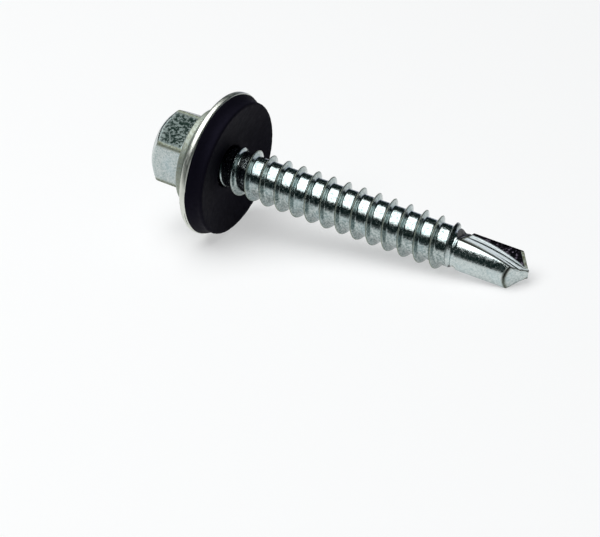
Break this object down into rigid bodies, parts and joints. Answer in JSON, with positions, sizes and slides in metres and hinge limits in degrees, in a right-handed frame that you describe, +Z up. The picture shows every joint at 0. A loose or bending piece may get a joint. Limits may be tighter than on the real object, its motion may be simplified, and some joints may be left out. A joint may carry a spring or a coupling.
{
  "type": "self drilling screw",
  "caption": "Self drilling screw with a flanged hex head, a coarse thread, a fluted drill point and a loose dished sealing washer under the head.",
  "frame": {"origin": "on the floor, under the centre of the box that bounds the screw as it lies", "axes": "+Z up from the surface the screw lies on; the shaft lies in the XZ plane with its point towards +X, dipping 11.0 degrees to the floor; Y is sideways"},
  "size_m": [0.0426, 0.016, 0.0158],
  "materials": {
    "screw_steel": "bright zinc plating, semi-gloss",
    "washer_steel": "zinc plating, satin and faintly mottled",
    "seal_rubber": "matt black EPDM"
  },
  "bodies": {
    "screw": {"screw": "screw_steel"},
    "washer": {"steel_washer": "washer_steel", "rubber_seal": "seal_rubber"}
  },
  "joints": [
    {"name": "washer_spin", "type": "hinge", "parent": "screw", "child": "washer", "pos_m": [-0.0157, 0, 0.00821], "axis": [0.9816, 0, -0.1911], "continuous": true}
  ]
}
